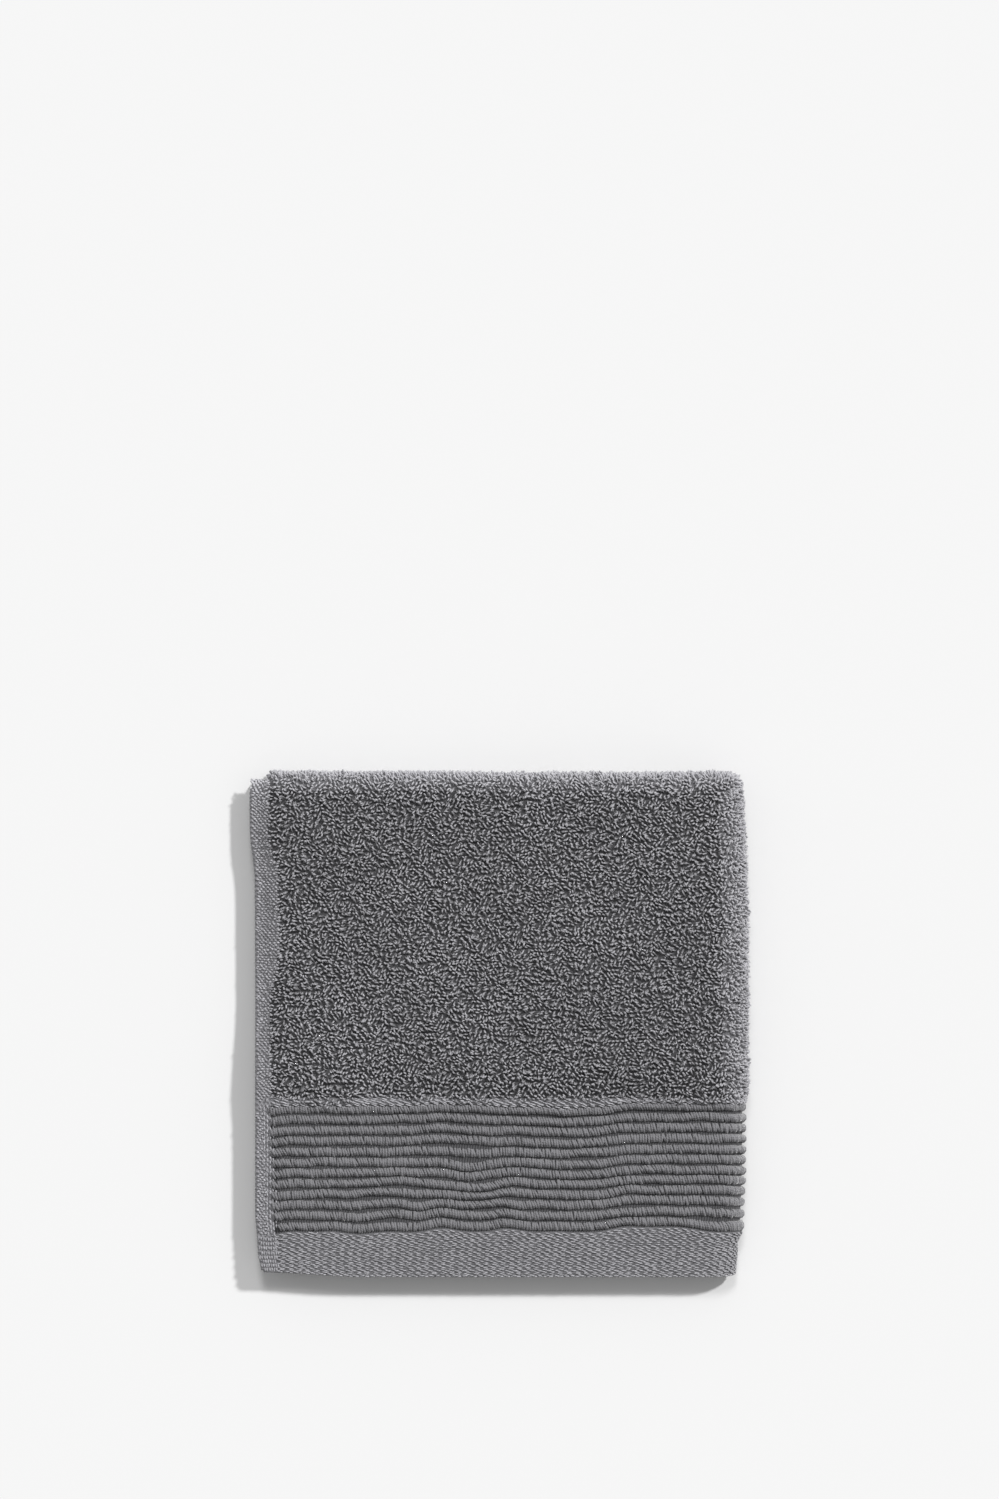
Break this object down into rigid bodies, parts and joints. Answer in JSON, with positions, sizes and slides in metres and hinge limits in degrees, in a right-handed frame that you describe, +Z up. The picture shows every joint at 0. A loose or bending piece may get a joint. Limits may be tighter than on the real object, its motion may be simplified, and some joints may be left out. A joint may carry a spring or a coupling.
{
  "type": "folded washcloth",
  "caption": "Square terry washcloth folded in quarters, with a woven selvedge, a corded border and a flat hem, lying flat.",
  "frame": {"origin": "centre of the folded cloth's outline, on the surface that it lies on", "axes": "+Z up through the folded layers, +Y towards the back fold, away from the hem, +X towards the side fold, away from the selvedge"},
  "size_m": [0.1504, 0.152, 0.0157],
  "materials": {
    "terry": "matt grey cotton terry, with a satin-like weave on the hem and corded ribs"
  },
  "bodies": {
    "root": {"washcloth": "terry"}
  },
  "joints": []
}
